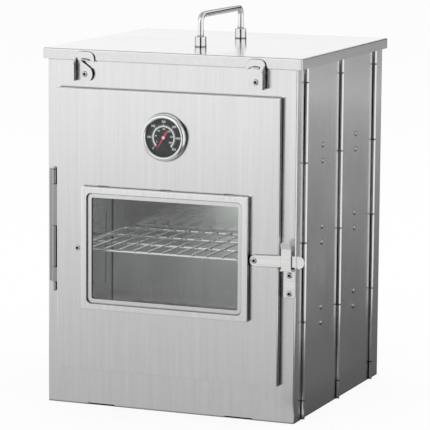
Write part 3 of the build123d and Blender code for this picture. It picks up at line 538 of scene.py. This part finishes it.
class OVEN_OT_wire_racks(bpy.types.Operator):
    """Welds one wire rack and copies it to the row below"""
    bl_idname = "oven.wire_racks"
    bl_label = "Wire racks"

    def execute(self, context):
        sizes = context.scene.oven_sizes
        bar, wire = sizes.rack_bar_radius / MM, sizes.rack_wire_radius / MM
        corner = sizes.rack_corner / MM
        low, high = drawn_box("upper_rack")
        drop = low.z - drawn_box("lower_rack")[0].z
        # The wires stick out 1.2 mm past the rim at the front and rear.
        overhang, bend_steps = 1.2 + bar, 6
        left, right = low.x + bar, high.x - bar
        front, rear, level = low.y + overhang, high.y - overhang, low.z + bar
        middle_x = (left + right) / 2
        # The rim is one bar bent round four corners, with its joint in the middle of the front.
        begin(bpy.ops.mesh.primitive_circle_add, vertices=16, radius=bar * MM,
              fill_type="NOTHING", location=spot(middle_x, front, level),
              rotation=(0, math.radians(90), 0))
        bpy.ops.mesh.select_all(action="SELECT")
        for run, bend in (
                ((right - corner - middle_x, 0, 0), (right - corner, front + corner)),
                ((0, rear - front - 2 * corner, 0), (right - corner, rear - corner)),
                ((left - right + 2 * corner, 0, 0), (left + corner, rear - corner)),
                ((0, front - rear + 2 * corner, 0), (left + corner, front + corner))):
            extrude(run)
            spin(spot(*bend, level), UP, 90, bend_steps)
        extrude((middle_x - left - corner, 0, 0))
        rim = close_up()
        third = (rear - front) / 3
        cross = turn(spot(left, front + third, level), RIGHT,
                     [(0, bar), (right - left, bar)], sides=16)
        crosses = copies(cross, [(0, third, 0)])
        # Wires are cut to length and their ends knocked round.
        long = rear - front + 2 * overhang
        pitch, count = 17.7, 14
        first = middle_x - pitch * (count - 1) / 2
        one = turn(spot(first, front - overhang, level + bar + wire), -FORWARD, [
            (0, wire * 0.45), (0.25, wire * 0.8), (0.6, wire), (long - 0.6, wire),
            (long - 0.25, wire * 0.8), (long, wire * 0.45)], sides=12)
        wires = copies(one, [(pitch * i, 0, 0) for i in range(1, count)])
        rack = join([rim, *crosses, *wires])
        lower = copies(rack, [(0, 0, -drop)])[1]
        for piece, name, body, stands_for in (
                (rack, "welded_rack_top", "top_rack", "upper_rack"),
                (lower, "welded_rack_bottom", "bottom_rack", "lower_rack")):
            complete(piece, name, body, "nickel_wire", stands_for=[stands_for])
        return {"FINISHED"}


class OVEN_OT_wall_rivets(bpy.types.Operator):
    """Sets the two rivets of every rack ledge through both side walls"""
    bl_idname = "oven.wall_rivets"
    bl_label = "Wall rivets"

    def execute(self, context):
        head = context.scene.oven_sizes.wall_rivet_head / MM
        # Each column has three ledges, seated at these heights, with two rivets above each seat.
        seats, rises = (84.4, 176.8, 269.2), (15.5, 33.5)
        columns = []
        for name in ("right_front_ledges", "right_rear_ledges"):
            low, high = drawn_box(name)
            columns.append((low.y + high.y) / 2)
        (first_y, first_z), *others = [(y, seat + rise)
                                       for y in columns for seat in seats for rise in rises]
        # Formed head inside, shank, and the domed factory head outside.
        profile = [(-3.0, head * 0.45), (-2.85, head * 0.72), (-2.4, head * 0.82),
                   (-2.02, head * 0.82), (-2.0, head * 0.5), (0.0, head * 0.5), (0.0, head),
                   (0.3, head * 0.99), (0.8, head * 0.87), (1.2, head * 0.66),
                   (1.45, head * 0.42), (1.55, head * 0.15)]
        for side, x, way in (("right", BODY_WIDTH, RIGHT), ("left", 0.0, -RIGHT)):
            one = turn(spot(x, first_y, first_z), way, profile, sides=24)
            row = copies(one, [(0, y - first_y, z - first_z) for y, z in others])
            complete(join(row), f"ledge_rivets_{side}", "housing",
                     "solid_rivet_steel", corner=40)
        return {"FINISHED"}


BLIND_HEAD_RISE = 1.3  # how far a blind rivet's head stands in front of its seat


def blind_rivet(x, seat, z, head, shank, grip, tail, spacer=()):
    """One blind rivet at x and z, with its head seated at depth seat; all is in millimetres.

    The head, shank and tail are radii. The head is a ring round the hollow that the broken
    mandrel left. A spacer is the start and end, along the rivet, of a ring as wide as the head."""
    place = spot(x, seat, z)
    profile = [(-grip - 2.4, shank * 0.7), (-grip - 2.1, tail * 0.9), (-grip - 1.2, tail),
               (-grip - 0.02, tail * 0.92), (-grip, shank)]
    if spacer:
        start, end = spacer
        profile += [(start, shank), (start, head), (end, head), (end, shank)]
    profile += [(0, shank), (0, head), (0.25, head), (0.6, head * 0.95), (0.95, head * 0.84),
                (1.2, head * 0.7), (BLIND_HEAD_RISE, head * 0.58), (1.24, head * 0.5),
                (1.0, head * 0.45), (-0.9, head * 0.43), (-1.0, head * 0.15)]
    made = turn(place, FORWARD, profile, sides=28)
    # The hollow's faces get near-black steel: partly the broken mandrel's own dark steel, partly
    # painted shade for the deep hollow.
    for finish in ("rivet_steel", "mandrel_steel_hollow_shade"):
        made.data.materials.append(bpy.data.materials[finish])
    made.active_material_index = 1
    hollow_depth, hollow_radius = 1.2, head * 0.47

    def in_hollow(face):
        off = (face.calc_center_median() - place) / MM
        return off.dot(FORWARD) > -hollow_depth and math.hypot(off.x, off.z) < hollow_radius

    bpy.ops.object.mode_set(mode="EDIT")
    pick("FACE", in_hollow)
    bpy.ops.object.material_slot_assign()
    bpy.ops.object.mode_set(mode="OBJECT")
    return made


class OVEN_OT_blind_rivets(bpy.types.Operator):
    """Sets the blind rivets of the keeper, the latch pivot, the door and the lid clips"""
    bl_idname = "oven.blind_rivets"
    bl_label = "Blind rivets"

    def execute(self, context):
        head = context.scene.oven_sizes.rivet_head / MM

        # The keeper's two rivets are one above the other, through its 1.5 mm foot and the panel.
        low, high = drawn_box("keeper_rivets")
        x, seat = (low.x + high.x) / 2, low.y + BLIND_HEAD_RISE
        keeper = [blind_rivet(x, seat, z, head, shank=1.55, grip=2.5, tail=2.3)
                  for z in (low.z + head, high.z - head)]

        # The latch turns on the pivot's shank, in front of a spacer 0.6 mm thick on the door.
        low, high = drawn_box("pivot_rivet")
        x, seat, z = (low.x + high.x) / 2, low.y + BLIND_HEAD_RISE, (low.z + high.z) / 2
        grip, spacer = 3.25, 0.6
        pivot = [blind_rivet(x, seat, z, head, shank=1.95, grip=grip, tail=2.9,
                             spacer=(SHEET - grip, SHEET + spacer - grip))]

        low, high = drawn_box("door_rivet")
        x, seat, z = (low.x + high.x) / 2, low.y + BLIND_HEAD_RISE, (low.z + high.z) / 2
        door = [blind_rivet(x, seat, z, head, shank=1.95, grip=SHEET, tail=2.6)]

        # The frame's plain clip rivets end in a tail one sheet thick, behind their grip.
        low, high = drawn_box("clip_rivets")
        seat, z = low.y + BLIND_HEAD_RISE, (low.z + high.z) / 2
        grip = high.y - seat - SHEET
        clips = [blind_rivet(x, seat, z, head, shank=1.75, grip=grip, tail=2.5)
                 for x in (low.x + head, high.x - head)]

        for rivets, name, body, stands_for in (
                (keeper, "keeper_blind_rivets", "housing", "keeper_rivets"),
                (pivot, "pivot_blind_rivet", "door", "pivot_rivet"),
                (door, "door_blind_rivet", "door", "door_rivet"),
                (clips, "clip_blind_rivets", "housing", "clip_rivets")):
            complete(join(rivets), name, body, "rivet_steel", corner=40,
                     stands_for=[stands_for])
        return {"FINISHED"}


def reading(fahrenheit):
    """Angle of a temperature on the dial, in degrees up from the right.

    The scale runs clockwise from the lower left, and 600 Fahrenheit take up 270 degrees."""
    return 225 - 0.45 * fahrenheit


def on_dial(middle, angle, radius):
    """Point of the dial at an angle and a radius in millimetres."""
    across, rise = math.cos(math.radians(angle)), math.sin(math.radians(angle))
    return middle + Vector((across, 0, rise)) * radius * MM


def ink_bar(middle, angle, near, far, wide):
    """A flat bar of ink that points out from the dial's middle, from radius near to far."""
    place = on_dial(middle, angle, (near + far) / 2)
    begin(bpy.ops.mesh.primitive_plane_add, size=1.0, location=place,
          rotation=(math.radians(90), 0, 0))
    bpy.ops.mesh.select_all(action="SELECT")
    bpy.ops.transform.resize(value=((far - near) * MM, 1, wide * MM))
    bpy.ops.transform.rotate(value=math.radians(angle), orient_axis="Y", center_override=place)
    bpy.ops.object.mode_set(mode="OBJECT")
    return bpy.context.object


def ink_band(middle, start, end, near, far):
    """A ring-shaped band of ink, spun from one side of a bar."""
    made = ink_bar(middle, start, near, far, 0.2)
    bpy.ops.object.mode_set(mode="EDIT")
    bpy.ops.mesh.select_all(action="SELECT")
    bpy.ops.mesh.delete(type="ONLY_FACE")
    way = on_dial(middle, start, 1) - middle
    side = Vector((-way.z, 0, way.x)).normalized()
    pick("VERT", lambda point: (point.co - middle).dot(side) > 0)
    bpy.ops.mesh.delete(type="VERT")
    bpy.ops.mesh.select_all(action="SELECT")
    spin(middle, -FORWARD, start - end, 90)
    bpy.ops.object.mode_set(mode="OBJECT")
    return made


def ink_number(middle, number, angle, radius, height):
    """A printed number; height is in metres, as the text's own size is."""
    bpy.ops.object.select_all(action="DESELECT")
    bpy.ops.object.text_add(location=on_dial(middle, angle, radius),
                            rotation=(math.radians(90), 0, 0))
    text = bpy.context.object.data
    text.body = str(number)
    # The font's size is 1.4 times its numerals' height, and the offset makes them bold.
    text.size = height * 1.4
    text.offset = 0.045 * height
    text.align_x, text.align_y = "CENTER", "CENTER"
    bpy.ops.object.convert(target="MESH")
    bpy.ops.object.transform_apply(location=True, rotation=True, scale=True)
    return bpy.context.object


class OVEN_OT_thermometer(bpy.types.Operator):
    """Turns the thermometer's ring, prints its dial and caps its needle"""
    bl_idname = "oven.thermometer"
    bl_label = "Thermometer"

    def execute(self, context):
        low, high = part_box("thermometer_ring")
        centre = Vector(((low.x + high.x) / 2, high.y, (low.z + high.z) / 2))
        # The ring starts 0.2 mm in front of the door, and its lip leaves the dial showing.
        back, outer, bore, lip = 0.2, (high.x - low.x) / 2 / MM, 24.1, 21.2
        ring = turn(centre + Vector((0, back * MM, 0)), FORWARD, [
            (back, bore), (back, outer - 0.3), (back + 0.3, outer), (5.2, outer),
            (6.5, outer - 0.35), (7.5, outer - 1.0), (8.1, outer - 1.9), (8.35, outer - 2.8),
            (8.4, outer - 3.4), (8.2, outer - 4.0), (7.4, lip + 0.35), (6.82, lip), (6.8, bore),
            (back, bore)], sides=72, bored=True)
        complete(ring, "turned_ring", "door", "chrome_plate", corner=40,
                 stands_for=["thermometer_ring"])

        # The print stands 0.03 mm off the dial. Its band ends two degrees past the scale.
        middle = Vector((centre.x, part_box("thermometer_dial")[0].y - 0.03 * MM, centre.z))
        full, past = 600, 2
        inner, edge, short, long = 0.555 * lip, 0.635 * lip, 0.70 * lip, 0.74 * lip
        outer_row, inner_row = 0.84 * lip, 0.45 * lip
        inks = [ink_band(middle, reading(0) + past, reading(full) - past, inner, edge)]
        # A mark every 20 Fahrenheit, longer and broader at the hundreds, which are numbered.
        for mark in range(0, full + 1, 20):
            far, wide = (long, 0.7) if mark % 100 == 0 else (short, 0.4)
            inks.append(ink_bar(middle, reading(mark), edge, far, wide))
        # Celsius numbers are smaller and stand inside the band.
        height = context.scene.oven_sizes.number_height
        small = 0.72 * height
        for number in range(0, full + 1, 100):
            inks.append(ink_number(middle, number, reading(number), outer_row, height))
        for number in range(0, 301, 50):
            inks.append(ink_number(middle, number, reading(number * 1.8 + 32), inner_row, small))
        complete(join(inks), "dial_print", "door", "dial_ink")

        needle_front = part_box("thermometer_pointer")[0].y
        cap = turn(Vector((centre.x, needle_front, centre.z)), FORWARD,
                   [(-0.02, 1.75), (0.08, 1.7), (0.16, 1.35), (0.2, 0.7)], sides=24)
        complete(cap, "needle_cap", "pointer", "dial_ink", corner=50)
        return {"FINISHED"}


# ---------------------------------------------------------------- stage
def set_camera(scene):
    """Stands the camera at its place, in metres, with its bearing, dip and tilt in radians."""
    place = (1.153197, -2.884408, 0.683235)
    yaw, pitch, roll = 0.382136, 0.152465, 0.007488
    bpy.ops.object.select_all(action="DESELECT")
    bpy.ops.object.camera_add(location=place)
    camera = bpy.context.object
    camera.name = "camera"
    ahead = Vector((-math.sin(yaw) * math.cos(pitch), math.cos(yaw) * math.cos(pitch),
                    -math.sin(pitch)))
    level = Vector((math.cos(yaw), math.sin(yaw), 0))
    above = level.cross(ahead)
    to_right = math.cos(roll) * level + math.sin(roll) * above
    to_top = -math.sin(roll) * level + math.cos(roll) * above
    camera.rotation_euler = Matrix((to_right, to_top, -ahead)).transposed().to_euler()
    camera.data.sensor_width, camera.data.lens = 36.0, 226.33
    camera.data.clip_start, camera.data.clip_end = 0.05, 60
    scene.camera = camera


def lay_floor():
    """Lays a pale matt board, seen as white, that keeps a soft shadow, and whose colour under the
    oven is a painted shadow.
    """
    bpy.ops.mesh.primitive_plane_add(size=40, location=(0, 0, 0))
    floor = bpy.context.object
    floor.name = "floor"
    tree = blank("pale_floor_board")
    seen = any_ray(tree, "Is Camera Ray", "Is Glossy Ray", "Is Transmission Ray")
    # Under the oven, behind the front's foot notches, the board's colour is painted near black as
    # the oven's shadow, and only real light shows it there. The rest shows 87% of its own white,
    # and its shadow is in what is left.
    own_white, fade, notch_side, notch_deep = 0.87, 1 * MM, 40, 60
    low, high = spot(notch_side, 0.5, 0), spot(BODY_WIDTH - notch_side, notch_deep, 0)
    place = node(tree, "ShaderNodeSeparateXYZ",
                 {0: node(tree, "ShaderNodeTexCoord").outputs["Object"]})
    outside = []
    for axis, start, end in (("X", low.x, high.x), ("Y", low.y, high.y)):
        half = (end - start) / 2
        off = node(tree, "ShaderNodeMath", {0: place.outputs[axis], 1: (start + end) / 2},
                   operation="SUBTRACT")
        off = node(tree, "ShaderNodeMath", {0: off.outputs[0]}, operation="ABSOLUTE")
        outside.append(node(tree, "ShaderNodeMapRange", {
            "Value": off.outputs[0], "From Min": half - fade, "From Max": half}))
    lit = node(tree, "ShaderNodeMath", {0: outside[0].outputs[0], 1: outside[1].outputs[0]},
               operation="MAXIMUM")
    share = node(tree, "ShaderNodeMath", {0: seen, 1: own_white}, operation="MULTIPLY")
    share = node(tree, "ShaderNodeMath", {0: share.outputs[0], 1: lit.outputs[0]},
                 operation="MULTIPLY")
    # The near black #1c1c1c is the painted shadow under the oven, and #f6f6f6 is the board's own
    # colour.
    tone = node(tree, "ShaderNodeMix", {
        "Factor": lit.outputs[0], "A": linear("#1c1c1c"), "B": linear("#f6f6f6")},
        data_type="RGBA")
    board = node(tree, "ShaderNodeBsdfDiffuse", {"Color": tone.outputs["Result"]})
    white = node(tree, "ShaderNodeEmission", {"Color": (1, 1, 1, 1), "Strength": 1.0})
    put(tree, node(tree, "ShaderNodeMixShader", {
        0: share.outputs[0], 1: board.outputs[0], 2: white.outputs[0]}))
    floor.data.materials.append(bpy.data.materials["pale_floor_board"])


def hang_sky(scene):
    """Lights the room evenly from a white sky, which polished metal mirrors as grey overhead."""
    world = bpy.data.worlds.new("studio")
    scene.world = world
    world.use_nodes = True
    sky = world.node_tree
    sky.nodes.clear()
    seen = any_ray(sky, "Is Camera Ray", "Is Glossy Ray", "Is Transmission Ray")
    plain = node(sky, "ShaderNodeMapRange", {"Value": seen, "To Min": 0.85, "To Max": 1.0})
    # What metal mirrors is white up to 20 degrees above the horizon, and grey from 58 degrees.
    way = node(sky, "ShaderNodeSeparateXYZ",
               {0: node(sky, "ShaderNodeTexCoord").outputs["Generated"]})
    overhead = node(sky, "ShaderNodeMapRange", {
        "Value": way.outputs["Z"], "From Min": 0.34, "From Max": 0.85,
        "To Min": 1.0, "To Max": 0.45})
    strength = node(sky, "ShaderNodeMix", {
        "Factor": any_ray(sky, "Is Glossy Ray"), "A": plain.outputs[0],
        "B": overhead.outputs[0]}, data_type="FLOAT")
    air = node(sky, "ShaderNodeBackground", {
        "Color": (1, 1, 1, 1), "Strength": strength.outputs[0]})
    node(sky, "ShaderNodeOutputWorld", {"Surface": air.outputs[0]})


def softbox(name, place, target, size, watts):
    """Hangs a square lamp, size metres wide, that points at target."""
    bpy.ops.object.light_add(type="AREA", location=place)
    lamp = bpy.context.object
    lamp.name = name
    aim = Vector(target) - Vector(place)
    lamp.rotation_euler = aim.to_track_quat("-Z", "Y").to_euler()
    lamp.data.shape, lamp.data.size, lamp.data.energy = "SQUARE", size, watts
    return lamp


def flag(name, start, way, widths, reach, near, far):
    """A grey card that only polished metal sees, as a studio lays and hangs by shining goods.

    Its near edge is centred on start, and it runs along way for reach metres. The widths and the
    greys, near and far, are those of its two edges. One whose way is UP stands."""
    card = blank(name + "_card")
    place = node(card, "ShaderNodeSeparateXYZ",
                 {0: node(card, "ShaderNodeTexCoord").outputs["Object"]})
    tone = node(card, "ShaderNodeMapRange", {
        "Value": place.outputs["Y"], "From Min": -0.5, "From Max": 0.5,
        "To Min": near, "To Max": far})
    put(card, node(card, "ShaderNodeEmission", {
        "Color": (1, 1, 1, 1), "Strength": tone.outputs[0]}))
    bpy.ops.object.select_all(action="DESELECT")
    bpy.ops.mesh.primitive_plane_add(size=1)
    made = bpy.context.object
    made.name = name
    for corner in made.data.vertices:
        corner.co.x *= widths[1] if corner.co.y > 0 else widths[0]
    side = way.cross(UP).normalized() if way.z == 0 else RIGHT
    turned = Matrix((side, way, side.cross(way))).transposed().to_4x4()
    made.matrix_world = (Matrix.Translation(start + way * reach / 2) @ turned
                         @ Matrix.Diagonal((1, reach, 1, 1)))
    made.data.materials.append(bpy.data.materials[name + "_card"])
    made.visible_camera = made.visible_diffuse = False
    made.visible_shadow = made.visible_transmission = False


def bearing(degrees):
    """Level direction, in degrees from the oven's right, seen from above."""
    return Vector((math.cos(math.radians(degrees)), math.sin(math.radians(degrees)), 0))


# Each card's name, start, way, widths, reach and greys.
CARDS = (
    # The right wall mirrors a card on the floor beside it, and one that stands at its far end.
    ("flag_beside", Vector((-0.178, -0.05, 0.0003)), bearing(75), (0.7, 3.2), 3.4, 0.09, 0.39),
    ("flag_behind", bearing(72) * 3.4, UP, (2.4, 2.4), 1.3, 0.38, 0.32),
    # The front mirrors the floor before it, and its narrow right-hand edges a dark strip there.
    ("flag_front", Vector((-0.02, -0.04, 0.0002)), bearing(248), (0.7, 2.2), 2.9, 0.51, 0.94),
    ("flag_corner", Vector((0.16, -0.22, 0.0004)), bearing(290), (0.12, 1.2), 2.5, 0.0, 0.10),
    # The right wall's knuckles mirror the floor close to them.
    ("flag_below", Vector((0.19, -0.03, 0.0006)), RIGHT, (0.6, 0.7), 0.4, 0.13, 0.16),
    # The handle's legs get dark outlines from the left and right, and its grip a grey top.
    ("flag_left", bearing(164) * 3.0 + UP * 0.5, UP, (3.7, 3.7), 0.7, 0.05, 0.05),
    ("flag_right", bearing(61) * 3.0 + UP * 0.5, UP, (3.8, 3.8), 0.7, 0.05, 0.05),
    ("flag_high", bearing(99) * 3.0 + UP * 1.35, UP, (1.5, 1.5), 0.8, 0.35, 0.35),
    # Domes and rods that face the camera mirror the dark behind it.
    ("flag_camera", bearing(294) * 2.8, UP, (1.7, 1.7), 2.0, 0.03, 0.03),
    # Pale cards inside the oven, under the lid and below the window, let its racks be seen.
    ("card_lid", Vector((-0.005, -0.12, 0.386)), -FORWARD, (0.26, 0.26), 0.25, 1.0, 0.9),
    ("card_front", Vector((-0.08, -0.1335, 0.03)), UP, (0.13, 0.13), 0.10, 0.30, 0.30),
)


class OVEN_OT_studio(bpy.types.Operator):
    """Sets the camera, the pale floor and the soft studio light"""
    bl_idname = "oven.studio"
    bl_label = "Studio"

    def execute(self, context):
        context.scene.view_settings.view_transform = "Standard"
        set_camera(context.scene)
        lay_floor()
        hang_sky(context.scene)
        softbox("key_softbox", (-0.7, -2.9, 2.0), (0, 0, 0.2), size=2.6, watts=8)
        top = softbox("top_softbox", (0.1, 0.5, 2.8), (0, 0, 0.3), size=3.0, watts=22)
        top.visible_glossy = False
        for card in CARDS:
            flag(*card)
        return {"FINISHED"}


class OVEN_PT_workshop(bpy.types.Panel):
    """Sizes, colours and steps of the camp oven"""
    bl_label = "Camp oven"
    bl_idname = "OVEN_PT_workshop"
    bl_space_type = "VIEW_3D"
    bl_region_type = "UI"
    bl_category = "Camp oven"

    def draw(self, context):
        for group in (context.scene.oven_sizes, context.scene.oven_colours):
            box = self.layout.box()
            for name in group.__annotations__:
                box.prop(group, name)
        for step in STEPS:
            self.layout.operator(step.bl_idname)


STEPS = (OVEN_OT_finishes, OVEN_OT_lid_handle, OVEN_OT_wire_racks, OVEN_OT_wall_rivets,
         OVEN_OT_blind_rivets, OVEN_OT_thermometer, OVEN_OT_studio)
CLASSES = (OvenSizes, OvenColours, *STEPS, OVEN_PT_workshop)


def register():
    for one in CLASSES:
        bpy.utils.register_class(one)
    bpy.types.Scene.oven_sizes = bpy.props.PointerProperty(type=OvenSizes)
    bpy.types.Scene.oven_colours = bpy.props.PointerProperty(type=OvenColours)


def unregister():
    del bpy.types.Scene.oven_sizes, bpy.types.Scene.oven_colours
    for one in reversed(CLASSES):
        bpy.utils.unregister_class(one)


def main():
    """Runs every step on the frame."""
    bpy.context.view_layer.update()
    register()
    for step in STEPS:
        group, name = step.bl_idname.split(".")
        getattr(getattr(bpy.ops, group), name)()


if __name__ == "__main__":
    main()
